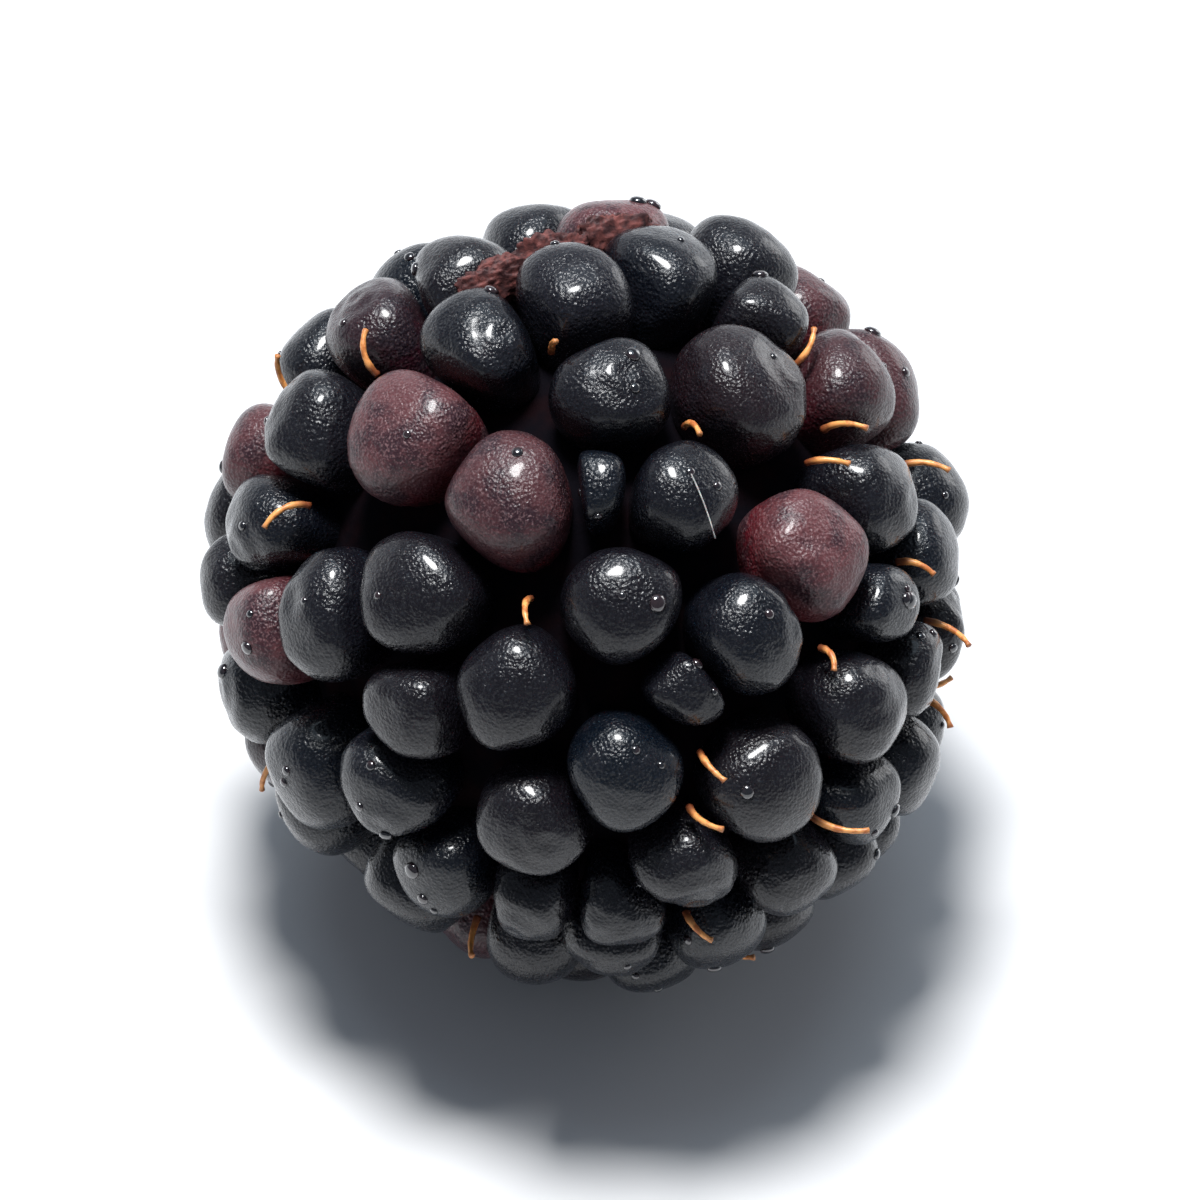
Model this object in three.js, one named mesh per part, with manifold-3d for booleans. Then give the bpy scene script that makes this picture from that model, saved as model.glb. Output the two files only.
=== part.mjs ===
// A picked bramble berry lying on its side: about a hundred juicy drupelets grown together on one core, the
// pale end of the receptacle in the hollow where the fruit came off its stalk, and the dried styles left
// from the flower. Millimetres, +Z up. The origin is on the ground under the middle of the berry, and the
// tip points along +X, a little down.
//
// Each part is shaped in the berry's own frame: the middle of the berry is at 0, its axis is X with the
// tip at +X, and an angle round the axis is 90 degrees on the upper side and -90 on the lower one.
import * as THREE from "three";
import { mergeVertices } from "three/addons/utils/BufferGeometryUtils.js";
import Module from "manifold-3d";

const wasm = await Module();
wasm.setup();

// Driving dimensions
const TIP_HALF = 15.25; // of the ovoid that touches the drupelets from outside: widest girth to tip
const STEM_HALF = 12.2; // of that ovoid: widest girth to stem end, which is blunter
const WIDTH = 26.6; // of that ovoid, across the axis
const TIP_TAPER = 0.05; // how much slimmer the tip end is than the middle, as a share
const RISE = 2.35; // of a middling drupelet's skin over its own middle
const ROOT = 2.6; // from a drupelet's middle in to where it grows on the core
const MIDDLING_WIDTH = 4.6; // across a drupelet, where it neither crowds nor is crowded
const WIDTH_SPREAD = 0.13; // of the widths on either side of that, as a share
const STEM_RING = { drupelets: 9, fromTip: 149, width: 4.7 }; // round the hollow at the stem end
const CORE_UNDER_SEAT = 0.9; // how far the core's surface is under the drupelets' middles
const STEM_HOLLOW = { width: 6, depth: 2.3 }; // in the core, at the stem end
const RECEPTACLE = { width: 5.2, thickness: 1.2, crown: 0.5 }; // the pale end, in that hollow
const STYLE = { length: 2, rootWidth: 0.2, endWidth: 0.1, bend: 65, height: 0.9 }; // over the middles
const CREASE_SEARCH = 6; // how many degrees each way a crease for a style is looked for
const CLEARANCE = 0.3; // between the floor of the hollow and the receptacle's end

// How it lies: the ground is at 0, and presses flat the three lowest drupelets
const TIP_DOWN = 8; // how far the axis tips down towards the tip, in degrees
const MIDDLE = [-1.7, 0, 12.8]; // where the middle of the ovoid is

// How the drupelets crowd each other
const SPACING = 0.83; // between the middles of touching drupelets, as a share of their widths
const ROOM = 0.82; // the share of that spacing that is enough for a new one to push in
const NEIGHBOURS = 5; // the nearest ones, which say how much room a drupelet has to swell
const SWELLING = 0.56; // a drupelet's half width if nothing pressed it, as a share of its width
const SQUARENESS = 7; // how sharply the skin turns where neighbours press: 2 is round, 20 is an edge
const SETTLING_SWEEPS = 20;
const GOLDEN_ANGLE = 180 * (3 - Math.sqrt(5));
const SPIRAL_PLACES = 900; // tried one after another, to fill what the set drupelets leave free

// The drupelets of the side that shows: degrees from the tip, degrees round the axis, and width
const SET_DRUPELETS = [
  // Round the tip
  [9, 120, 4.2],
  [16, -15, 4.2],
  [17, -80, 4.3],
  [16, 190, 4.2],
  [22, 62, 5.0],
  // The first row back from the tip
  [30, 118, 4.7],
  [33, 152, 4.4],
  [30, 4, 3.8],
  [34, -32, 4.4],
  [35, -60, 4.3],
  [39, 33, 4.8],
  [39, 91, 3.0],
  [46, -12, 4.3],
  // The second row
  [46, 74, 4.9],
  [50, 130, 4.9],
  [54, 100, 5.0],
  [58, 149, 4.4],
  [52, 14, 4.0],
  [55, 36, 3.7],
  [58, 58, 5.2],
  [48, -34, 4.2],
  // Round the middle
  [67, 84, 4.3],
  [71, 98, 3.3],
  [69, 135, 5.7],
  [77, 153, 4.5],
  [70, 41, 4.8],
  [68, 21, 4.2],
  [74, 112, 5.8],
  [84, 90, 4.7],
  [83, 67, 5.6],
  [86, 168, 4.6],
  [91, 123, 5.0],
  [88, 43, 4.6],
  // Towards the stem end
  [98, 57, 3.7],
  [102, 107, 4.6],
  [106, 90, 5.0],
  [109, 141, 4.6],
  [111, 72, 5.2],
  [96, 28, 4.4],
  [118, 52, 4.8],
  [121, 161, 4.4],
  [124, 125, 4.8],
  [125, 107, 3.9],
  [135, 144, 5.0],
];

// The three that the berry lies on
const FEET = [
  [72, -90, 4.7],
  [90, -79, 4.7],
  [90, -101, 4.7],
];

// Where the dried styles are: degrees from the tip and round the axis, which way they lean, in degrees
// round from straight away from the tip, and how long they are against the common length
const STYLES = [
  [121, 147, -89, 1.0],
  [108, 132, -32, 0.85],
  [99, 149, 114, 0.95],
  [97, 99, -171, 0.6],
  [81, 79, 180, 0.75],
  [90, 53, -22, 0.8],
  [82, 52, -141, 0.9],
  [75, 53, -112, 0.8],
  [78, 34, -139, 0.9],
  [62, 27, -125, 0.7],
  [60, 12, 178, 1.0],
  [54, 2, -150, 0.8],
  [58, 113, 164, 0.8],
  [35, 98, -146, 0.8],
  [40, 58, 180, 0.6],
  [16, 100, -107, 0.9],
  [15, 30, -20, 1.1],
  [8, -110, 90, 0.7],
  [26, -78, 110, 0.8],
  [75, -20, 30, 1.0],
  [110, -30, 160, 1.2],
  [118, -150, -40, 1.1],
  [85, -165, 100, 1.0],
  [50, -150, -150, 0.9],
];

const SEAT_HALF_WIDTH = WIDTH / 2 - RISE;
const HOLLOW_FLOOR = STEM_HOLLOW.depth + CORE_UNDER_SEAT - seatHalfLength(-1); // its place along the axis
const UP = new THREE.Vector3(0, 1, 0); // the way that a new geometry's axis points
const { degToRad, radToDeg } = THREE.MathUtils;

// The same number from 0 to 1 every time for the same place and purpose
function chance(place, purpose) {
  const wave = Math.sin(place * 12.9898 + purpose * 78.233) * 43758.5453;
  return wave - Math.floor(wave);
}

// Half the length of the ovoid that the drupelets' middles sit on, on the side of the tip or of the stem
function seatHalfLength(along) {
  return (along < 0 ? STEM_HALF : TIP_HALF) - RISE;
}

// A point on that ovoid, or on a layer over it
function seatPoint(fromTip, round, layer = 0) {
  const along = Math.cos(degToRad(fromTip));
  const girth = (SEAT_HALF_WIDTH * (1 - TIP_TAPER * along) + layer) * Math.sin(degToRad(fromTip));
  return new THREE.Vector3(
    (seatHalfLength(along) + layer) * along,
    girth * Math.cos(degToRad(round)),
    girth * Math.sin(degToRad(round)),
  );
}

function anglesOf(point) {
  const aside = Math.hypot(point.y, point.z) / SEAT_HALF_WIDTH;
  return {
    fromTip: radToDeg(Math.atan2(aside, point.x / seatHalfLength(point.x))),
    round: radToDeg(Math.atan2(point.z, point.y)),
  };
}

function outwardAt(point) {
  const [a, b] = [seatHalfLength(point.x) ** 2, SEAT_HALF_WIDTH ** 2];
  return new THREE.Vector3(point.x / a, point.y / b, point.z / b).normalize();
}

function newDrupelet([fromTip, round, width], fixed) {
  return { middle: seatPoint(fromTip, round), width, fixed };
}

function restingDistance(one, other) {
  return (SPACING * (one.width + other.width)) / 2;
}

function stemRing() {
  return Array.from({ length: STEM_RING.drupelets }, (_, n) => {
    const [sway, lean] = [chance(n, 1) - 0.5, chance(n, 2) - 0.5];
    const round = (360 / STEM_RING.drupelets) * (n + 0.3 * sway);
    return [STEM_RING.fromTip + 5 * lean, round, STEM_RING.width * (1 + 0.15 * sway)];
  });
}

// The set drupelets first, then as many as find room along a spiral from the stem end
function setOutDrupelets() {
  const placed = [
    ...FEET.map((foot) => newDrupelet(foot, true)),
    ...stemRing().map((one) => newDrupelet(one, true)),
    ...SET_DRUPELETS.map((one) => newDrupelet(one, true)),
  ];
  for (let place = 0; place < SPIRAL_PLACES; place++) {
    const fromTip = radToDeg(Math.acos((2 * (place + 0.5)) / SPIRAL_PLACES - 1));
    if (fromTip > STEM_RING.fromTip) continue;
    const width = MIDDLING_WIDTH * (1 + WIDTH_SPREAD * (2 * chance(place, 3) - 1));
    const one = newDrupelet([fromTip, place * GOLDEN_ANGLE, width], false);
    const fits = placed.every(
      (other) => one.middle.distanceTo(other.middle) > ROOM * restingDistance(one, other),
    );
    if (fits) placed.push(one);
  }
  return placed;
}

// The drupelets of the spiral slide over the ovoid, away from those that are too close
function settle(drupelets) {
  for (let sweep = 0; sweep < SETTLING_SWEEPS; sweep++) {
    drupelets.forEach((one, n) => {
      for (const other of drupelets.slice(n + 1)) {
        const apart = one.middle.clone().sub(other.middle);
        const shortfall = restingDistance(one, other) - apart.length();
        if (shortfall <= 0) continue;
        apart.setLength(shortfall / 3);
        if (!one.fixed) one.middle.add(apart);
        if (!other.fixed) other.middle.sub(apart);
      }
    });
    for (const one of drupelets.filter((drupelet) => !drupelet.fixed)) {
      const { fromTip, round } = anglesOf(one.middle);
      one.middle.copy(seatPoint(Math.min(fromTip, STEM_RING.fromTip), round));
    }
  }
}

// Each drupelet swells to the room that its nearest neighbours leave it
function swell(drupelets) {
  for (const one of drupelets) {
    const distances = drupelets.map((other) => one.middle.distanceTo(other.middle)).sort((a, b) => a - b);
    const nearest = distances.slice(1, NEIGHBOURS + 1);
    const mean = nearest.reduce((sum, distance) => sum + distance, 0) / NEIGHBOURS;
    one.width = (one.width + mean / SPACING) / 2;
  }
}

// Neighbours press each other flat along the planes where their swollen shapes would cross
function findWalls(drupelets) {
  for (const one of drupelets) {
    one.outward = outwardAt(one.middle);
    one.walls = [];
    for (const other of drupelets) {
      const towards = other.middle.clone().sub(one.middle);
      const apart = towards.length();
      if (other === one || apart > 2 * MIDDLING_WIDTH) continue;
      const [mine, theirs] = [SWELLING * one.width, SWELLING * other.width];
      const distance = (apart ** 2 + mine ** 2 - theirs ** 2) / (2 * apart);
      one.walls.push({ towards: towards.normalize(), distance });
    }
  }
}

// How far a drupelet's skin lies from its middle in one direction
function reach(drupelet, direction) {
  const upright = direction.dot(drupelet.outward);
  const share = drupelet.width / MIDDLING_WIDTH;
  const depth = upright > 0 ? RISE * (0.4 + 0.6 * share) : ROOT;
  const aside = Math.sqrt(Math.max(0, 1 - upright ** 2));
  let crowding = Math.hypot(aside / (SWELLING * drupelet.width), upright / depth) ** SQUARENESS;
  for (const wall of drupelet.walls) {
    crowding += Math.max(0, direction.dot(wall.towards) / wall.distance) ** SQUARENESS;
  }
  return crowding ** (-1 / SQUARENESS);
}

function solidOf(geometry) {
  const bare = geometry.clone();
  bare.deleteAttribute("normal");
  bare.deleteAttribute("uv");
  const merged = mergeVertices(bare, 1e-5);
  return new wasm.Manifold(
    new wasm.Mesh({
      numProp: 3,
      vertProperties: merged.attributes.position.array,
      triVerts: new Uint32Array(merged.index.array),
    }),
  );
}

function geometryOf(solid) {
  const { vertProperties, triVerts } = solid.getMesh();
  const geometry = new THREE.BufferGeometry();
  geometry.setAttribute("position", new THREE.BufferAttribute(new Float32Array(vertProperties), 3));
  geometry.setIndex(new THREE.BufferAttribute(new Uint32Array(triVerts), 1));
  geometry.computeVertexNormals();
  return geometry;
}

function moveVertices(geometry, rule) {
  const positions = geometry.attributes.position;
  const vertex = new THREE.Vector3();
  for (let n = 0; n < positions.count; n++) {
    rule(vertex.fromBufferAttribute(positions, n));
    positions.setXYZ(n, vertex.x, vertex.y, vertex.z);
  }
  geometry.computeVertexNormals();
  return geometry;
}

// A ball with one pole out of the berry, so that most of its faces are on the dome
function drupeletGeometry(drupelet) {
  const turn = new THREE.Quaternion().setFromUnitVectors(UP, drupelet.outward);
  return moveVertices(new THREE.SphereGeometry(1, 8, 4), (vertex) => {
    vertex.applyQuaternion(turn).normalize();
    vertex.multiplyScalar(reach(drupelet, vertex)).add(drupelet.middle);
  });
}

function coreSolid(lying) {
  const halfWidth = SEAT_HALF_WIDTH - CORE_UNDER_SEAT;
  const core = moveVertices(new THREE.SphereGeometry(1, 16, 9).rotateZ(Math.PI / 2), (vertex) => {
    const halfLength = seatHalfLength(vertex.x) - CORE_UNDER_SEAT;
    vertex.set(vertex.x * halfLength, vertex.y * halfWidth, vertex.z * halfWidth);
  });
  const hollow = new THREE.CylinderGeometry(STEM_HOLLOW.width / 2, STEM_HOLLOW.width / 2, WIDTH, 16);
  hollow.rotateZ(Math.PI / 2).translate(HOLLOW_FLOOR - WIDTH / 2, 0, 0);
  return solidOf(core.applyMatrix4(lying)).subtract(solidOf(hollow.applyMatrix4(lying)));
}

// The whole flesh where it lies, cut flat where the ground presses it
function fleshGeometry(drupelets, lying) {
  let flesh = coreSolid(lying);
  for (const one of drupelets) flesh = flesh.add(solidOf(drupeletGeometry(one).applyMatrix4(lying)));
  const ground = new THREE.BoxGeometry(2 * WIDTH, 2 * WIDTH, WIDTH).translate(0, 0, -WIDTH / 2);
  return geometryOf(flesh.subtract(solidOf(ground)));
}

// A low round plug with a crowned outer face; its axis is the berry's
function receptacleGeometry() {
  const { width, thickness, crown } = RECEPTACLE;
  const outline = [
    [0, 0],
    [0.42 * width, 0],
    [0.5 * width, 0.3 * thickness],
    [0.47 * width, thickness],
    [0.3 * width, thickness + 0.6 * crown],
    [0, thickness + crown],
  ];
  const points = outline.map(([radius, height]) => new THREE.Vector2(radius, height));
  return new THREE.LatheGeometry(points, 14);
}

// The point of the nearest crease between drupelets where a style has the most room
function creaseNear(fromTip, round, drupelets) {
  let best = { room: -Infinity };
  for (let down = -CREASE_SEARCH; down <= CREASE_SEARCH; down++) {
    for (let across = -CREASE_SEARCH; across <= CREASE_SEARCH; across++) {
      const sideways = round + across / Math.sin(degToRad(fromTip));
      const point = seatPoint(fromTip + down, sideways, STYLE.height);
      const gaps = drupelets.map((one) => {
        const away = point.clone().sub(one.middle);
        return away.length() - reach(one, away.clone().normalize());
      });
      const room = Math.min(...gaps);
      if (room > best.room) best = { room, point };
    }
  }
  return best.point;
}

// A thin tapering rod that bends over from its root, along UP and then towards +X
function styleGeometry(length) {
  const rod = new THREE.CylinderGeometry(STYLE.endWidth / 2, STYLE.rootWidth / 2, length, 5, 4);
  const bend = degToRad(STYLE.bend);
  return moveVertices(rod, (vertex) => {
    const turn = (vertex.y / length + 0.5) * bend;
    const radius = length / bend;
    const [across, along] = [radius * (1 - Math.cos(turn)), radius * Math.sin(turn)];
    vertex.set(across + vertex.x * Math.cos(turn), along - vertex.x * Math.sin(turn), vertex.z);
  });
}

function newMesh(name, geometry, color, roughness) {
  const mesh = new THREE.Mesh(geometry, new THREE.MeshStandardMaterial({ color, roughness }));
  mesh.name = name;
  return mesh;
}

function newStyle(number, [fromTip, round, lean, share], drupelets) {
  const mesh = newMesh(
    `style_${String(number).padStart(2, "0")}`,
    styleGeometry(STYLE.length * share),
    0xb4622a,
    0.6,
  );
  const root = creaseNear(fromTip, round, drupelets);
  const outward = outwardAt(root);
  const awayFromTip = new THREE.Vector3(-1, 0, 0).projectOnPlane(outward).normalize();
  const leaning = awayFromTip.applyAxisAngle(outward, degToRad(lean));
  const sideways = new THREE.Vector3().crossVectors(leaning, outward);
  mesh.position.copy(root);
  mesh.setRotationFromMatrix(new THREE.Matrix4().makeBasis(leaning, outward, sideways));
  return mesh;
}

const drupelets = setOutDrupelets();
settle(drupelets);
swell(drupelets);
findWalls(drupelets);

const lying = new THREE.Group();
lying.rotation.y = degToRad(TIP_DOWN);
lying.position.set(...MIDDLE);
lying.updateMatrix();

const receptacle = newMesh("receptacle", receptacleGeometry(), 0xd8c48a, 0.8);
receptacle.position.x = HOLLOW_FLOOR - CLEARANCE;
receptacle.rotation.z = Math.PI / 2;
lying.add(receptacle);
STYLES.forEach((style, n) => lying.add(newStyle(n + 1, style, drupelets)));

const part = new THREE.Group();
part.add(newMesh("berry", fleshGeometry(drupelets, lying.matrix), 0x16181c, 0.35), lying);
export default part;
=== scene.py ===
"""A picked bramble berry lying on its side on a pale floor, in soft studio light.

The berry is built drupelet by drupelet in its own frame, in millimetres: its middle is at 0, its axis is X
with the tip at +X, and an angle round the axis is 90 degrees on the upper side and -90 on the lower one.
Each finished piece is then laid down on the ground, in metres.
"""

import math

import bmesh
import bpy
import numpy as np
from mathutils import Matrix, Vector, noise


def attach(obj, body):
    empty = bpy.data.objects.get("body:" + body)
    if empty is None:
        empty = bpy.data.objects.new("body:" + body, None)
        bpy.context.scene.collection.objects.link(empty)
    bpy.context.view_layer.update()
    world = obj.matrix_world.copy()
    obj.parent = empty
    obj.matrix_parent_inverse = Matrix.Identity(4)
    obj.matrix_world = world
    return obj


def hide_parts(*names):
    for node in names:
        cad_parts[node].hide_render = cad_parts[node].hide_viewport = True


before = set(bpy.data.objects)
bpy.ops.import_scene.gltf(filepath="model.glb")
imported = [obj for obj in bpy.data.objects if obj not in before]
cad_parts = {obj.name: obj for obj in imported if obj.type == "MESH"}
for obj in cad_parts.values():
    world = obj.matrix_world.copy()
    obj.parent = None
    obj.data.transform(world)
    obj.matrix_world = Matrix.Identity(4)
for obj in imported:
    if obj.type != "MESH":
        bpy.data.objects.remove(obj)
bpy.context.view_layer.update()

MM = 0.001

# The berry and how its drupelets crowd each other, as in the solid model
TIP_HALF = 15.25  # of the ovoid that touches the drupelets from outside: widest girth to tip
STEM_HALF = 12.2  # of that ovoid: widest girth to stem end, which is blunter
WIDTH = 26.6  # of that ovoid, across the axis
TIP_TAPER = 0.05  # how much slimmer the tip end is than the middle, as a share
RISE = 2.35  # of a middling drupelet's skin over its own middle
ROOT = 2.6  # from a drupelet's middle in to where it grows on the core
MIDDLING_WIDTH = 4.6  # across a drupelet, where it neither crowds nor is crowded
WIDTH_SPREAD = 0.13  # of the widths on either side of that, as a share
STEM_RING = {"drupelets": 9, "from_tip": 149, "width": 4.7}  # round the hollow at the stem end
CORE_UNDER_SEAT = 0.9  # how far the core's surface is under the drupelets' middles
STEM_HOLLOW = {"width": 6, "depth": 2.3}  # in the core, at the stem end
RECEPTACLE = {"width": 5.2, "thickness": 1.2, "crown": 0.5}  # the pale end, in that hollow
STYLE = {"length": 2, "root_width": 0.2, "end_width": 0.1, "bend": 65, "height": 0.9}
CREASE_SEARCH = 6  # how many degrees each way a crease for a style is looked for
CLEARANCE = 0.3  # between the floor of the hollow and the receptacle's end
TIP_DOWN = 8  # how far the axis tips down towards the tip, in degrees
MIDDLE = (-1.7, 0, 12.8)  # where the middle of the ovoid is, over the ground

SPACING = 0.83  # between the middles of touching drupelets, as a share of their widths
ROOM = 0.82  # the share of that spacing that is enough for a new one to push in
NEIGHBOURS = 5  # the nearest ones, which say how much room a drupelet has to swell
SWELLING = 0.56  # a drupelet's half width if nothing pressed it, as a share of its width
SQUARENESS = 7  # how sharply the skin turns where neighbours press: 2 is round, 20 is an edge
SETTLING_SWEEPS = 20
GOLDEN_ANGLE = 180 * (3 - math.sqrt(5))
SPIRAL_PLACES = 900  # tried one after another, to fill what the set drupelets leave free

# The drupelets of the side that shows: degrees from the tip, degrees round the axis, and width
SET_DRUPELETS = [
    # Round the tip
    (9, 120, 4.2),
    (16, -15, 4.2),
    (17, -80, 4.3),
    (16, 190, 4.2),
    (22, 62, 5.0),
    # The first row back from the tip
    (30, 118, 4.7),
    (33, 152, 4.4),
    (30, 4, 3.8),
    (34, -32, 4.4),
    (35, -60, 4.3),
    (39, 33, 4.8),
    (39, 91, 3.0),
    (46, -12, 4.3),
    # The second row
    (46, 74, 4.9),
    (50, 130, 4.9),
    (54, 100, 5.0),
    (58, 149, 4.4),
    (52, 14, 4.0),
    (55, 36, 3.7),
    (58, 58, 5.2),
    (48, -34, 4.2),
    # Round the middle
    (67, 84, 4.3),
    (71, 98, 3.3),
    (69, 135, 5.7),
    (77, 153, 4.5),
    (70, 41, 4.8),
    (68, 21, 4.2),
    (74, 112, 5.8),
    (84, 90, 4.7),
    (83, 67, 5.6),
    (86, 168, 4.6),
    (91, 123, 5.0),
    (88, 43, 4.6),
    # Towards the stem end
    (98, 57, 3.7),
    (102, 107, 4.6),
    (106, 90, 5.0),
    (109, 141, 4.6),
    (111, 72, 5.2),
    (96, 28, 4.4),
    (118, 52, 4.8),
    (121, 161, 4.4),
    (124, 125, 4.8),
    (125, 107, 3.9),
    (135, 144, 5.0),
]

# The three that the berry lies on
FEET = [(72, -90, 4.7), (90, -79, 4.7), (90, -101, 4.7)]

# Where the dried styles are: degrees from the tip and round the axis, which way they lean, in degrees
# round from straight away from the tip, and how long they are against the common length
STYLES = [
    (121, 147, -89, 1.0),
    (108, 132, -32, 0.85),
    (99, 149, 114, 0.95),
    (97, 99, -171, 0.6),
    (81, 79, 180, 0.75),
    (90, 53, -22, 0.8),
    (82, 52, -141, 0.9),
    (75, 53, -112, 0.8),
    (78, 34, -139, 0.9),
    (62, 27, -125, 0.7),
    (60, 12, 178, 1.0),
    (54, 2, -150, 0.8),
    (58, 113, 164, 0.8),
    (35, 98, -146, 0.8),
    (40, 58, 180, 0.6),
    (16, 100, -107, 0.9),
    (15, 30, -20, 1.1),
    (8, -110, 90, 0.7),
    (26, -78, 110, 0.8),
    (75, -20, 30, 1.0),
    (110, -30, 160, 1.2),
    (118, -150, -40, 1.1),
    (85, -165, 100, 1.0),
    (50, -150, -150, 0.9),
]

# Drupelets that are still red: degrees from the tip, degrees round the axis, and how red
RED_DRUPELETS = [
    (91, 123, 0.8),
    (74, 112, 0.6),
    (58, 58, 0.9),
    (121, 161, 0.7),
    (86, 168, 0.8),
    (88, 43, 0.45),
    (96, 28, 0.55),
    (124, 125, 0.3),
    (83, 67, 0.15),
    (106, 90, 0.1),
    (70, -40, 0.6),
    (112, -60, 0.85),
    (60, -125, 0.5),
    (120, -150, 0.8),
    (95, -140, 0.3),
    (135, 20, 0.6),
    (130, 88, 0.9),
]

# Ragged dry tissue on the upper side, near the stem end: degrees from the tip, degrees round the axis,
# and how wide and tall it is
TORN_PATCHES = [
    (120, 78, 1.7, 1.1),
    (118, 91, 1.4, 0.95),
    (116, 101, 1.1, 0.8),
]

SEAT_HALF_WIDTH = WIDTH / 2 - RISE
HOLLOW_FLOOR = STEM_HOLLOW["depth"] + CORE_UNDER_SEAT - (STEM_HALF - RISE)
LYING_TURN = Matrix.Rotation(math.radians(TIP_DOWN), 4, "Y")
LYING_DOWN = Matrix.Translation(Vector(MIDDLE) * MM) @ LYING_TURN @ Matrix.Scale(MM, 4)

# The fine surface of the drupelets
ROWS = 8  # pieces that the drupelets are shared out to, from the tip to the stem end
ROUNDER_SQUARENESS = 4.0  # of the fine skin, which is rounder than the solid model's
SMALL = {"width": 3.4, "squareness": 3.1}  # the widest of the small drupelets, which are rounder still
DRUPELET_FINENESS = 5  # times the twenty-sided ball is divided, counting itself
PROUD = 0.3  # how much further than another a drupelet may stand out
DENTED = 0.35  # the share of drupelets with a dent
LUMPS = {"height": 0.095, "wavelength": 2.4}  # of the skin, in millimetres
RIPPLES = {"height": 0.014, "wavelength": 0.8}
BEAD = {"tries": 3, "share": 0.45, "radius": 0.14, "extra_radius": 0.18}  # of juice, per drupelet
HAIR = {"root_radius": 0.035, "end_radius": 0.02, "length": 2.6, "bend": 16}  # the stray one
TORN_RIM = {"radius": 3.3, "steps": 160, "sunk": 1.1}  # round the receptacle's end


def chance(place, purpose):
    """The same number from 0 to 1 every time for the same place and purpose."""
    wave = math.sin(place * 12.9898 + purpose * 78.233) * 43758.5453
    return wave - math.floor(wave)


# ---------------------------------------------------------------- where the drupelets sit


class Drupelet:
    def __init__(self, from_tip, around, width, fixed=True):
        self.middle = seat_point(from_tip, around)
        self.width = width
        self.fixed = fixed
        self.squareness = SMALL["squareness"] if width <= SMALL["width"] else ROUNDER_SQUARENESS
        self.redness = 0.0
        self.proud = 0.0


def seat_half_length(along):
    """Half the length of the ovoid that the drupelets' middles sit on, towards the tip or the stem."""
    return (STEM_HALF if along < 0 else TIP_HALF) - RISE


def seat_point(from_tip, around, layer=0.0):
    """A point on that ovoid, or on a layer over it."""
    along = math.cos(math.radians(from_tip))
    girth = (SEAT_HALF_WIDTH * (1 - TIP_TAPER * along) + layer) * math.sin(math.radians(from_tip))
    return np.array([
        (seat_half_length(along) + layer) * along,
        girth * math.cos(math.radians(around)),
        girth * math.sin(math.radians(around)),
    ])


def angles_of(point):
    aside = math.hypot(point[1], point[2]) / SEAT_HALF_WIDTH
    from_tip = math.degrees(math.atan2(aside, point[0] / seat_half_length(point[0])))
    return from_tip, math.degrees(math.atan2(point[2], point[1]))


def outward_at(point):
    slope = point / np.array([seat_half_length(point[0]), SEAT_HALF_WIDTH, SEAT_HALF_WIDTH]) ** 2
    return slope / np.linalg.norm(slope)


def stem_ring():
    ring = []
    for n in range(STEM_RING["drupelets"]):
        sway, lean = chance(n, 1) - 0.5, chance(n, 2) - 0.5
        around = 360 / STEM_RING["drupelets"] * (n + 0.3 * sway)
        width = STEM_RING["width"] * (1 + 0.15 * sway)
        ring.append(Drupelet(STEM_RING["from_tip"] + 5 * lean, around, width))
    return ring


def set_out_drupelets():
    """The set drupelets first, then as many as find room along a spiral from the stem end."""
    placed = [Drupelet(*foot) for foot in FEET] + stem_ring()
    placed += [Drupelet(*one) for one in SET_DRUPELETS]
    for place in range(SPIRAL_PLACES):
        from_tip = math.degrees(math.acos(2 * (place + 0.5) / SPIRAL_PLACES - 1))
        if from_tip > STEM_RING["from_tip"]:
            continue
        width = MIDDLING_WIDTH * (1 + WIDTH_SPREAD * (2 * chance(place, 3) - 1))
        one = Drupelet(from_tip, place * GOLDEN_ANGLE, width, fixed=False)
        middles = np.array([other.middle for other in placed])
        needed = ROOM * SPACING / 2 * (width + np.array([other.width for other in placed]))
        if np.all(np.linalg.norm(middles - one.middle, axis=1) > needed):
            placed.append(one)
    return placed


def settle(drupelets):
    """The drupelets of the spiral slide over the ovoid, away from those that are too close."""
    for _ in range(SETTLING_SWEEPS):
        for n, one in enumerate(drupelets):
            for other in drupelets[n + 1:]:
                apart = one.middle - other.middle
                distance = math.sqrt(apart @ apart)
                shortfall = SPACING * (one.width + other.width) / 2 - distance
                if shortfall <= 0:
                    continue
                push = apart * (shortfall / 3 / distance)
                if not one.fixed:
                    one.middle = one.middle + push
                if not other.fixed:
                    other.middle = other.middle - push
        for one in drupelets:
            if not one.fixed:
                from_tip, around = angles_of(one.middle)
                one.middle = seat_point(min(from_tip, STEM_RING["from_tip"]), around)


def swell(drupelets):
    """Each drupelet swells to the room that its nearest neighbours leave it."""
    middles = np.array([one.middle for one in drupelets])
    for one in drupelets:
        distances = np.sort(np.linalg.norm(middles - one.middle, axis=1))
        mean = distances[1:NEIGHBOURS + 1].mean()
        one.width = (one.width + mean / SPACING) / 2


def find_walls(drupelets):
    """Neighbours press each other flat along the planes where their swollen shapes would cross."""
    for one in drupelets:
        one.outward = outward_at(one.middle)
        one.walls = []
        for other in drupelets:
            towards = other.middle - one.middle
            apart = np.linalg.norm(towards)
            if other is one or apart > 2 * MIDDLING_WIDTH:
                continue
            mine, theirs = SWELLING * one.width, SWELLING * other.width
            one.walls.append((towards / apart, (apart**2 + mine**2 - theirs**2) / (2 * apart)))


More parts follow.
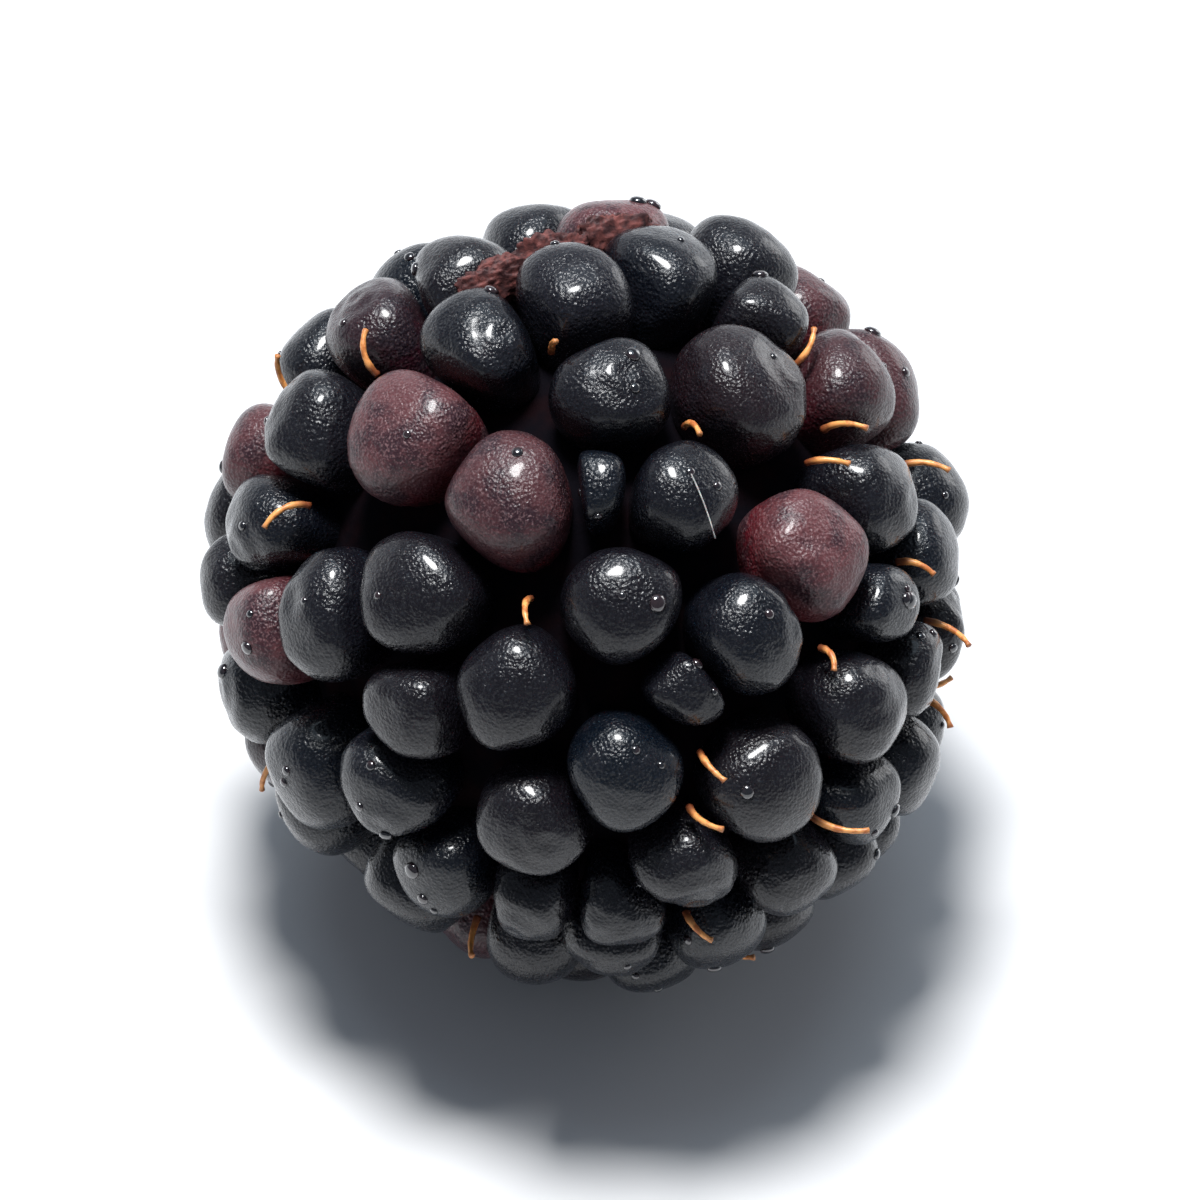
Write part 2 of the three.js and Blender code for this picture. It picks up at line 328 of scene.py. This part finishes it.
def ripen(drupelets):
    """Some drupelets stand proud of the others, and a few are still red."""
    for number, one in enumerate(drupelets):
        one.proud = PROUD * (chance(number, 35) - 0.5)
    for from_tip, around, redness in RED_DRUPELETS:
        place = seat_point(from_tip, around)
        nearest = min(drupelets, key=lambda one: np.linalg.norm(one.middle - place))
        nearest.redness = redness


def reach(drupelet, directions, squareness=SQUARENESS, proud=0.0):
    """How far a drupelet's skin lies from its middle in each of the directions."""
    upright = directions @ drupelet.outward
    share = drupelet.width / MIDDLING_WIDTH
    depth = np.where(upright > 0, RISE * (0.4 + 0.6 * share) + proud, ROOT)
    aside = np.sqrt(np.clip(1 - upright**2, 0, None))
    crowding = np.hypot(aside / (SWELLING * drupelet.width), upright / depth) ** squareness
    for towards, distance in drupelet.walls:
        crowding += np.clip(directions @ towards / distance, 0, None) ** squareness
    return crowding ** (-1 / squareness)


# ---------------------------------------------------------------- materials


class Wire:
    """A value in a material's node tree. Arithmetic on it adds Math nodes."""

    def __init__(self, tree, socket=None):
        self.tree = tree
        self.socket = socket

    def node(self, kind, settings=None, inputs=None, output=0):
        """A new node's output: settings are set on the node first, then its sockets get values or links."""
        node = self.tree.nodes.new(kind)
        for name, value in (settings or {}).items():
            setattr(node, name, value)
        for key, value in (inputs or {}).items():
            if isinstance(value, Wire):
                self.tree.links.new(value.socket, node.inputs[key])
            else:
                node.inputs[key].default_value = value
        return Wire(self.tree, node.outputs[output])

    def math(self, operation, *values, clamp=False):
        settings = {"operation": operation, "use_clamp": clamp}
        return self.node("ShaderNodeMath", settings, dict(enumerate(values)))

    def __add__(self, other):
        return self.math("ADD", self, other)

    def __sub__(self, other):
        return self.math("SUBTRACT", self, other)

    def __rsub__(self, other):
        return self.math("SUBTRACT", other, self)

    def __mul__(self, other):
        return self.math("MULTIPLY", self, other)

    __radd__ = __add__
    __rmul__ = __mul__

    def between(self, low, high):
        """0 where this is at low or under it, 1 where it is at high or over it, and smooth between."""
        settings = {"interpolation_type": "SMOOTHSTEP"}
        return self.node("ShaderNodeMapRange", settings, {0: self, 1: low, 2: high, 3: 0.0, 4: 1.0})

    def mix(self, colour_a, colour_b):
        """colour_a where this is 0 and colour_b where it is 1."""
        settings = {"data_type": "RGBA"}
        inputs = {0: self, 6: as_colour(colour_a), 7: as_colour(colour_b)}
        return self.node("ShaderNodeMix", settings, inputs, output=2)


def as_colour(colour):
    return colour if isinstance(colour, Wire) else (*colour, 1.0)


def new_material(name, **constants):
    """A material, a wire to start its nodes from, and its Principled shader with the constants set."""
    material = bpy.data.materials.new(name)
    material.use_nodes = True
    tree = material.node_tree
    shader = tree.nodes["Principled BSDF"]
    for key, value in constants.items():
        shader.inputs[key.replace("_", " ")].default_value = value
    return material, Wire(tree), shader


def feed(shader, **wires):
    for key, wire in wires.items():
        wire.tree.links.new(wire.socket, shader.inputs[key.replace("_", " ")])


def place_in_mm(start):
    place = start.node("ShaderNodeTexCoord", output="Object")
    return start.node("ShaderNodeVectorMath", {"operation": "SCALE"}, {0: place, "Scale": 1 / MM})


def noise_on(place, per_mm, detail=2.0, roughness=0.5, distortion=0.0):
    inputs = {"Vector": place, "Scale": per_mm, "Detail": detail}
    inputs.update({"Roughness": roughness, "Distortion": distortion})
    return place.node("ShaderNodeTexNoise", None, inputs)


def cells_on(place, per_mm, smoothness=0.5):
    inputs = {"Vector": place, "Scale": per_mm, "Smoothness": smoothness}
    return place.node("ShaderNodeTexVoronoi", {"feature": "SMOOTH_F1"}, inputs)


def bump_from(height, strength, distance_mm):
    inputs = {"Height": height, "Strength": strength, "Distance": distance_mm * MM}
    return height.node("ShaderNodeBump", None, inputs)


def skin_material():
    """Satin black skin with a fine pebbled grain, wine red where a drupelet is still ripening, with painted
    shade and a painted red glow towards the base of each red drupelet.
    """
    material, start, shader = new_material(
        "drupelet_skin",
        Subsurface_Weight=0.08,
        Subsurface_Radius=(1.0, 0.25, 0.2),
        Subsurface_Scale=0.8 * MM,
        IOR=1.37,
        Coat_Roughness=0.12,
        Coat_IOR=1.38,
    )
    place = place_in_mm(start)
    redness = start.node("ShaderNodeAttribute", {"attribute_name": "redness"}, output="Fac")
    height = start.node("ShaderNodeAttribute", {"attribute_name": "height"}, output="Fac")
    tint = start.node("ShaderNodeAttribute", {"attribute_name": "tint"}, output="Fac")
    blotches = noise_on(place, 0.7, detail=4.0, roughness=0.6)
    pebbles = cells_on(place, 8.0)
    flecks = noise_on(place, 12.0, detail=2.0)
    black = tint.mix((0.002, 0.0038, 0.0075), (0.006, 0.0045, 0.0065))
    black = (blotches.between(0.45, 0.7) * 0.6).mix(black, (0.010, 0.010, 0.014))
    black = (flecks.between(0.55, 0.7) * 0.4).mix(black, (0.027, 0.030, 0.036))
    # Painted shade and a painted red glow: each red drupelet turns darker and deeper red from its middle
    # down to its base, where it turns under into the creases.
    low = height.between(0.6, -0.1)
    red = low.mix((0.108, 0.036, 0.040), (0.105, 0.006, 0.012))
    red = blotches.between(0.42, 0.62).mix(red, (0.034, 0.013, 0.018))
    red = (flecks.between(0.5, 0.66) * 0.5).mix(red, (0.24, 0.135, 0.14))
    colour = (redness + (blotches - 0.5) * redness).between(0.0, 1.0).mix(black, red)
    relief = pebbles * 0.8 + flecks * 0.6 + noise_on(place, 2.2, detail=3.0) * 1.1
    feed(
        shader,
        Base_Color=colour,
        Roughness=flecks.between(0.3, 0.75) * 0.16 + 0.22 + redness * 0.08,
        Coat_Weight=0.6 - redness * 0.35,
        Normal=bump_from(relief, 1.0, 0.048),
    )
    return material


def flesh_material():
    """The core in the creases between the drupelets, coloured near black as painted shade of the deep
    creases.
    """
    material, start, shader = new_material("core_flesh", IOR=1.4, Specular_IOR_Level=0.0)
    place = place_in_mm(start)
    stains = noise_on(place, 0.8, detail=4.0)
    # Painted shade: the core is near black so that the gaps between the drupelets read as deep shadow, and
    # the stains only vary that black a little.
    colour = stains.between(0.4, 0.7).mix((0.004, 0.0035, 0.005), (0.008, 0.004, 0.005))
    relief = noise_on(place, 3.0, detail=4.0)
    feed(
        shader,
        Base_Color=colour,
        Roughness=stains * 0.2 + 0.75,
        Normal=bump_from(relief, 0.7, 0.08),
    )
    return material


def juice_material():
    """Beads of dark juice on the skin."""
    material, start, shader = new_material(
        "juice_beads", IOR=1.6, Coat_Weight=1.0, Coat_Roughness=0.03, Coat_IOR=1.6
    )
    place = place_in_mm(start)
    mottle = noise_on(place, 2.0)
    colour = mottle.between(0.4, 0.6).mix((0.006, 0.006, 0.008), (0.02, 0.01, 0.012))
    feed(shader, Base_Color=colour, Roughness=mottle * 0.08 + 0.05)
    return material


def pith_material():
    """Moist cream pith, with fibres that run out of the berry and brown bruises."""
    material, start, shader = new_material(
        "receptacle_pith",
        Subsurface_Weight=0.35,
        Subsurface_Radius=(1.0, 0.8, 0.5),
        Subsurface_Scale=0.6 * MM,
        IOR=1.4,
    )
    place = place_in_mm(start)
    fibres = noise_on(place, 3.2, detail=4.0, roughness=0.65)
    bruises = noise_on(place, 0.7, detail=3.0)
    colour = fibres.between(0.35, 0.7).mix((0.52, 0.37, 0.20), (0.80, 0.67, 0.47))
    colour = (bruises.between(0.52, 0.68) * 0.8).mix(colour, (0.20, 0.075, 0.04))
    feed(
        shader,
        Base_Color=colour,
        Roughness=fibres * 0.3 + 0.4,
        Normal=bump_from(fibres, 0.9, 0.12),
    )
    return material


def torn_material():
    """The dry red-brown edge of the flesh, torn where the fruit came off its stalk."""
    material, start, shader = new_material("torn_edge", IOR=1.4)
    place = place_in_mm(start)
    shreds = noise_on(place, 3.0, detail=4.0, roughness=0.65)
    colour = shreds.between(0.35, 0.75).mix((0.040, 0.014, 0.015), (0.20, 0.060, 0.052))
    feed(
        shader,
        Base_Color=colour,
        Roughness=shreds * 0.3 + 0.5,
        Normal=bump_from(shreds, 0.8, 0.08),
    )
    return material


def style_material():
    """Dry amber plant hair, darker in patches."""
    material, start, shader = new_material(
        "dried_style",
        Subsurface_Weight=0.15,
        Subsurface_Radius=(1.0, 0.5, 0.2),
        Subsurface_Scale=0.1 * MM,
        IOR=1.5,
    )
    place = place_in_mm(start)
    along = start.node("ShaderNodeAttribute", {"attribute_name": "along"}, output="Fac")
    streaks = noise_on(place, 3.5, detail=3.0)
    colour = streaks.between(0.42, 0.66).mix((0.82, 0.36, 0.11), (0.46, 0.14, 0.035))
    colour = along.between(0.45, 0.05).mix(colour, (0.16, 0.04, 0.014))
    colour = (along.between(0.85, 1.0) * 0.6).mix(colour, (0.30, 0.10, 0.04))
    feed(
        shader,
        Base_Color=colour,
        Roughness=streaks * 0.3 + 0.25,
        Normal=bump_from(noise_on(place, 12.0), 0.4, 0.02),
    )
    return material


def hair_material():
    """Pale, half clear plant hair."""
    material, start, shader = new_material("stray_hair", IOR=1.5, Subsurface_Weight=0.2,
                                           Subsurface_Scale=0.1 * MM)
    place = place_in_mm(start)
    streaks = noise_on(place, 3.0)
    colour = streaks.between(0.4, 0.6).mix((0.42, 0.42, 0.40), (0.20, 0.19, 0.19))
    feed(shader, Base_Color=colour, Roughness=streaks * 0.2 + 0.2)
    return material


def floor_material():
    material, start, shader = new_material("floor", Roughness=0.75)
    place = place_in_mm(start)
    cloud = noise_on(place, 0.01, detail=2.0)
    feed(shader, Base_Color=cloud.mix((0.64, 0.64, 0.65), (0.67, 0.67, 0.67)))
    return material


# ---------------------------------------------------------------- pieces


def finish_piece(name, shape, material, replaces=()):
    """Turns a bmesh in millimetres, in the berry's frame, into a piece that lies on the ground."""
    for face in shape.faces:
        face.smooth = True
    mesh = bpy.data.meshes.new(name)
    shape.transform(LYING_DOWN)
    for vert in shape.verts:
        vert.co.z = max(vert.co.z, 0.0)
    shape.to_mesh(mesh)
    shape.free()
    mesh.materials.append(material)
    piece = bpy.data.objects.new(name, mesh)
    bpy.context.scene.collection.objects.link(piece)
    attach(piece, "root")
    if replaces:
        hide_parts(*replaces)
    return piece


def waves(places, wavelength, seed):
    """A smooth random height between -1 and 1 at each place, from waves in a few directions."""
    total = np.zeros(len(places))
    count = 7
    for n in range(count):
        heading = np.array([chance(seed + n, purpose) - 0.5 for purpose in (11, 12, 13)])
        heading *= 2 * math.pi / (wavelength * np.linalg.norm(heading))
        total += np.sin(places @ heading + 7 * chance(seed + n, 14))
    return total / count * 1.6


def dents(drupelet, number, directions):
    """How far each point of a drupelet sinks in a dent, with faint rings round it."""
    if chance(number, 21) > DENTED:
        return np.zeros(len(directions))
    lean = np.array([chance(number, purpose) - 0.5 for purpose in (22, 23, 24)])
    centre = drupelet.outward + 1.1 * lean
    centre /= np.linalg.norm(centre)
    spread = 0.5 + 0.35 * chance(number, 25)
    angle = np.arccos(np.clip(directions @ centre, -1, 1)) / spread
    depth = 0.08 + 0.2 * chance(number, 26)
    rings = 0.035 * np.cos(9 * angle) * np.exp(-((angle / 1.4) ** 2))
    return depth * np.exp(-(angle**2)) + rings


def skin_points(drupelet, number, directions):
    distance = reach(drupelet, directions, drupelet.squareness, drupelet.proud)
    places = drupelet.middle + directions * distance[:, None]
    lumps = LUMPS["height"] * waves(places, LUMPS["wavelength"], number * 3)
    ripples = RIPPLES["height"] * waves(places, RIPPLES["wavelength"], number * 5)
    distance = distance + (lumps + ripples) - dents(drupelet, number, directions)
    return drupelet.middle + directions * distance[:, None]


def drupelet_row(name, row, material, beads):
    """One piece of several drupelets. Places for beads of juice on them are added to beads."""
    shape = bmesh.new()
    redness_layer = shape.verts.layers.float.new("redness")
    height_layer = shape.verts.layers.float.new("height")
    tint_layer = shape.verts.layers.float.new("tint")
    for number, drupelet in row:
        ball = bmesh.ops.create_icosphere(shape, subdivisions=DRUPELET_FINENESS, radius=1)
        verts = ball["verts"]
        directions = np.array([vert.co[:] for vert in verts])
        directions /= np.linalg.norm(directions, axis=1)[:, None]
        places = skin_points(drupelet, number, directions)
        heights = (places - drupelet.middle) @ drupelet.outward / RISE
        tint = chance(number, 31)
        for vert, place, height in zip(verts, places, heights):
            vert.co = place
            vert[redness_layer] = drupelet.redness
            vert[height_layer] = height
            vert[tint_layer] = tint
        shape.normal_update()
        for n in range(BEAD["tries"]):
            if chance(number, 41 + n) > BEAD["share"]:
                continue
            lean = np.array([chance(number, 50 + 3 * n + k) - 0.5 for k in range(3)])
            aim = drupelet.outward + 1.3 * lean
            vert = verts[int(np.argmax(directions @ aim))]
            radius = BEAD["radius"] + BEAD["extra_radius"] * chance(number, 60 + n) ** 2
            beads.append((vert.co.copy(), vert.normal.copy(), radius))
    return finish_piece(name, shape, material, ["berry"])


def juice_beads(beads, material):
    shape = bmesh.new()
    for place, normal, radius in beads:
        turn = normal.to_track_quat("Z", "Y").to_matrix().to_4x4()
        squashed = Matrix.Diagonal((1, 1, 0.55, 1))
        where = Matrix.Translation(place) @ turn @ squashed
        bmesh.ops.create_icosphere(shape, subdivisions=2, radius=radius, matrix=where)
    return finish_piece("juice_beads", shape, material)


def core(material):
    """The flesh that the drupelets stand on, with the hollow at the stem end. Its material is near black as
    painted shade for the creases it shows through.
    """
    shape = bmesh.new()
    bmesh.ops.create_icosphere(shape, subdivisions=6, radius=1)
    half_width = SEAT_HALF_WIDTH - CORE_UNDER_SEAT
    for vert in shape.verts:
        vert.co.x *= seat_half_length(vert.co.x) - CORE_UNDER_SEAT
        vert.co.y *= half_width
        vert.co.z *= half_width
        aside = math.hypot(vert.co.y, vert.co.z) / (STEM_HOLLOW["width"] / 2)
        if vert.co.x < 0 and aside < 1:
            vert.co.x = max(vert.co.x, HOLLOW_FLOOR - 0.5 * aside**6)
        vert.co += vert.co.normalized() * 0.15 * noise.noise(vert.co * 0.9)
    return finish_piece("core_flesh", shape, material, ["berry"])


def receptacle(material):
    """The crowned end of the pith, spun round the axis and roughened."""
    width, thickness, crown = (RECEPTACLE[key] for key in ("width", "thickness", "crown"))
    outline = [
        (0, 0),
        (0.42 * width, 0),
        (0.5 * width, 0.3 * thickness),
        (0.47 * width, thickness),
        (0.3 * width, thickness + 0.6 * crown),
        (0, thickness + crown),
    ]
    shape = bmesh.new()
    foot = HOLLOW_FLOOR - CLEARANCE
    verts = [shape.verts.new((foot - height, radius, 0)) for radius, height in outline]
    edges = [shape.edges.new(pair) for pair in zip(verts, verts[1:])]
    bmesh.ops.spin(shape, geom=verts + edges, axis=(1, 0, 0), cent=(0, 0, 0),
                   angle=2 * math.pi, steps=48, use_merge=True)
    bmesh.ops.remove_doubles(shape, verts=shape.verts, dist=1e-4)
    bmesh.ops.subdivide_edges(shape, edges=shape.edges, cuts=3, use_grid_fill=True)
    bmesh.ops.smooth_vert(shape, verts=shape.verts, factor=0.5, use_axis_x=True, use_axis_y=True,
                          use_axis_z=True)
    bmesh.ops.recalc_face_normals(shape, faces=shape.faces)
    shape.normal_update()
    moves = []
    for vert in shape.verts:
        rough = 0.16 * noise.noise(vert.co * 1.3) + 0.09 * noise.noise(vert.co * 3.7)
        moves.append(vert.normal * rough)
    for vert, move in zip(shape.verts, moves):
        vert.co += move
    return finish_piece("receptacle_end", shape, material, ["receptacle"])


def torn_edge(material):
    """A ragged ring of dry tissue between the receptacle's end and the drupelets round it."""
    shape = bmesh.new()
    foot, radius = HOLLOW_FLOOR - TORN_RIM["sunk"], TORN_RIM["radius"]
    outline = [(-0.25, 0), (0.1, 0.7), (0.3, 1.3), (0.5, 0.5), (0.55, -0.2)]
    verts = [shape.verts.new((foot - height, radius + out, 0)) for out, height in outline]
    edges = [shape.edges.new(pair) for pair in zip(verts, verts[1:] + verts[:1])]
    bmesh.ops.spin(shape, geom=verts + edges, axis=(1, 0, 0), cent=(0, 0, 0),
                   angle=2 * math.pi, steps=TORN_RIM["steps"], use_merge=True)
    bmesh.ops.remove_doubles(shape, verts=shape.verts, dist=1e-4)
    bmesh.ops.subdivide_edges(shape, edges=shape.edges, cuts=1, use_grid_fill=True)
    bmesh.ops.recalc_face_normals(shape, faces=shape.faces)
    for vert in shape.verts:
        height = foot - vert.co.x
        ragged = noise.noise(vert.co * 1.1) + 0.8 * noise.noise(Vector((0, vert.co.y, vert.co.z)) * 3.5)
        vert.co.x -= ragged * 0.7 * max(height, 0)
        vert.co += 0.2 * Vector((0, noise.noise(vert.co * 2.3), noise.noise(vert.co * 2.1)))
    return finish_piece("torn_edge", shape, material)


def leaning_from(outward, lean):
    """Along the surface: straight away from the tip, or lean degrees round from there."""
    away_from_tip = Vector((-1, 0, 0))
    away_from_tip = (away_from_tip - outward * away_from_tip.dot(outward)).normalized()
    return Matrix.Rotation(math.radians(lean), 3, outward) @ away_from_tip


def placed_at(point, lean):
    """A matrix for a shape that is modelled at 0, leaning along X, with its outer side along Y."""
    outward = Vector(outward_at(point))
    leaning = leaning_from(outward, lean)
    basis = Matrix((leaning, outward, leaning.cross(outward))).transposed().to_4x4()
    return Matrix.Translation(Vector(point)) @ basis


def torn_tissue(material):
    """Thin ragged ridges of dry tissue that stand in the creases near the stem end."""
    shape = bmesh.new()
    for from_tip, around, width, height in TORN_PATCHES:
        lump = bmesh.ops.create_icosphere(shape, subdivisions=5, radius=1)
        for vert in lump["verts"]:
            ragged = 1 + 0.35 * noise.noise(vert.co * 1.7 + Vector((around, 0, 0)))
            ragged += 0.35 * abs(noise.noise(vert.co * 4.2 + Vector((0, around, 0))))
            vert.co = Vector((0.28 * vert.co.x, height * vert.co.y, width * vert.co.z)) * ragged
        where = placed_at(seat_point(from_tip, around, 1.1), 8 * math.sin(around))
        bmesh.ops.transform(shape, verts=lump["verts"], matrix=where)
    return finish_piece("torn_tissue", shape, material)


def crease_near(from_tip, around, drupelets):
    """The point of the nearest crease between drupelets where a style has the most room."""
    steps = range(-CREASE_SEARCH, CREASE_SEARCH + 1)
    stretch = 1 / math.sin(math.radians(from_tip))
    points = np.array([
        seat_point(from_tip + down, around + across * stretch, STYLE["height"])
        for down in steps
        for across in steps
    ])
    gaps = []
    for one in drupelets:
        away = points - one.middle
        distance = np.linalg.norm(away, axis=1)
        gaps.append(distance - reach(one, away / distance[:, None]))
    return points[int(np.argmax(np.min(gaps, axis=0)))]


def bent_rod(root_radius, end_radius, length, bend):
    """A thin tapering rod from 0 along Y that bends over towards X, with knobs and a blunt end."""
    shape = bmesh.new()
    bmesh.ops.create_cone(shape, cap_ends=True, segments=8, depth=length,
                          radius1=root_radius, radius2=end_radius)
    sides = [edge for edge in shape.edges if abs(edge.verts[0].co.z - edge.verts[1].co.z) > length / 2]
    bmesh.ops.subdivide_edges(shape, edges=sides, cuts=19)
    along_layer = shape.verts.layers.float.new("along")
    radius = length / bend
    for vert in shape.verts:
        share = vert.co.z / length + 0.5
        knobs = 1 + 0.22 * noise.noise(Vector((length * 31, 7 * share, 0)))
        knobs += 3 * max(0, share - 0.9)
        x, y, turn = knobs * vert.co.x, knobs * vert.co.y, share * bend
        sway = 0.06 * length * math.sin(2.6 * share) * math.sin(40 * length)
        vert.co = Vector((
            radius * (1 - math.cos(turn)) + x * math.cos(turn),
            radius * math.sin(turn) - x * math.sin(turn),
            y + sway,
        ))
        vert[along_layer] = share
    bmesh.ops.recalc_face_normals(shape, faces=shape.faces)
    return shape


def dried_style(number, drupelets, material):
    """A thin amber hair that comes out of a crease where the solid one does, and bends over."""
    from_tip, around, lean, share = STYLES[number]
    bend = math.radians(STYLE["bend"] * (0.7 + 0.6 * chance(number, 71)))
    shape = bent_rod(0.65 * STYLE["root_width"], 0.85 * STYLE["end_width"],
                     STYLE["length"] * share, bend)
    root = crease_near(from_tip, around, drupelets)
    shape.transform(placed_at(root, lean))
    label = f"{number + 1:02d}"
    return finish_piece(f"dried_style_{label}", shape, material, [f"style_{label}"])


def stray_hair(material):
    """A long pale hair that lies over one drupelet and the crease beside it."""
    shape = bent_rod(HAIR["root_radius"], HAIR["end_radius"], HAIR["length"], math.radians(HAIR["bend"]))
    root = seat_point(69, 84, RISE + 0.1)
    shape.transform(placed_at(root, -174) @ Matrix.Rotation(math.radians(-84), 4, "Z"))
    return finish_piece("stray_hair", shape, material)


# ---------------------------------------------------------------- the studio

DIM_SIDE = (0.145, 0.165, 0.20)  # the world overhead and on the camera's side
BRIGHT_SIDE = (0.90, 0.94, 1.0)  # the world low down behind the berry
FLOOR_REACH = 0.28  # metres each way
CAMERA = {"azimuth": 72, "elevation": 45, "lens": 300, "view_width": 41 * MM, "aim_height": 13.2 * MM}


def towards(azimuth, elevation):
    """The direction from the berry to something that sees it from these angles."""
    azimuth, elevation = math.radians(azimuth), math.radians(elevation)
    return Vector((
        math.sin(azimuth) * math.cos(elevation),
        -math.cos(azimuth) * math.cos(elevation),
        math.sin(elevation),
    ))


def add_camera():
    data = bpy.data.cameras.new("camera")
    data.lens = CAMERA["lens"]
    data.clip_start = 0.01
    camera = bpy.data.objects.new("camera", data)
    bpy.context.scene.collection.objects.link(camera)
    look_from = towards(CAMERA["azimuth"], CAMERA["elevation"])
    distance = CAMERA["view_width"] * data.lens / data.sensor_width
    camera.location = Vector((0, 0, CAMERA["aim_height"])) + look_from * distance
    camera.rotation_euler = look_from.to_track_quat("Z", "Y").to_euler()
    bpy.context.scene.camera = camera


def add_softbox(name, azimuth, elevation, distance, size, power, colour=(1, 1, 1)):
    data = bpy.data.lights.new(name, "AREA")
    data.shape = "DISK"
    data.size = size
    data.energy = power
    data.color = colour
    light = bpy.data.objects.new(name, data)
    bpy.context.scene.collection.objects.link(light)
    look_from = towards(azimuth, elevation)
    light.location = Vector((0, 0, CAMERA["aim_height"])) + look_from * distance
    light.rotation_euler = look_from.to_track_quat("Z", "Y").to_euler()


def add_studio():
    shape = bmesh.new()
    bmesh.ops.create_grid(shape, x_segments=1, y_segments=1, size=FLOOR_REACH)
    mesh = bpy.data.meshes.new("floor")
    shape.to_mesh(mesh)
    shape.free()
    mesh.materials.append(floor_material())
    floor = bpy.data.objects.new("floor", mesh)
    bpy.context.scene.collection.objects.link(floor)
    behind = CAMERA["azimuth"] + 180
    add_softbox("key_softbox", behind + 30, 82, 0.40, 0.12, 2.7)
    add_softbox("ceiling_softbox", behind, 72, 0.55, 0.55, 1.0, (0.70, 0.86, 1.0))
    add_softbox("rim_softbox", behind - 45, 10, 0.50, 0.24, 0.4)
    add_world()
    bpy.context.scene.view_settings.view_transform = "Standard"


def add_world():
    """White low down behind the berry, and dim overhead and on the camera's side."""
    world = bpy.data.worlds.new("studio")
    world.use_nodes = True
    start = Wire(world.node_tree)
    direction = start.node("ShaderNodeTexCoord", output="Generated")
    rise = start.node("ShaderNodeSeparateXYZ", None, {0: direction}, output="Z")
    behind = direction.node(
        "ShaderNodeVectorMath",
        {"operation": "DOT_PRODUCT"},
        {0: direction, 1: towards(CAMERA["azimuth"] + 180, 0)},
        output="Value",
    )
    white = rise.between(0.55, 0.05) * behind.between(-0.1, 0.5)
    colour = white.mix(DIM_SIDE, BRIGHT_SIDE)
    background = world.node_tree.nodes["Background"]
    world.node_tree.links.new(colour.socket, background.inputs["Color"])
    bpy.context.scene.world = world


add_camera()
add_studio()

drupelets = set_out_drupelets()
settle(drupelets)
swell(drupelets)
find_walls(drupelets)
ripen(drupelets)

skin = skin_material()
from_the_tip = sorted(enumerate(drupelets), key=lambda pair: -pair[1].middle[0])
beads = []
for row_number in range(ROWS):
    first = row_number * len(from_the_tip) // ROWS
    last = (row_number + 1) * len(from_the_tip) // ROWS
    drupelet_row(f"drupelets_row_{row_number + 1}", from_the_tip[first:last], skin, beads)
juice_beads(beads, juice_material())
core(flesh_material())
receptacle(pith_material())
dry_red = torn_material()
torn_edge(dry_red)
torn_tissue(dry_red)
amber = style_material()
for number in range(len(STYLES)):
    dried_style(number, drupelets, amber)
stray_hair(hair_material())
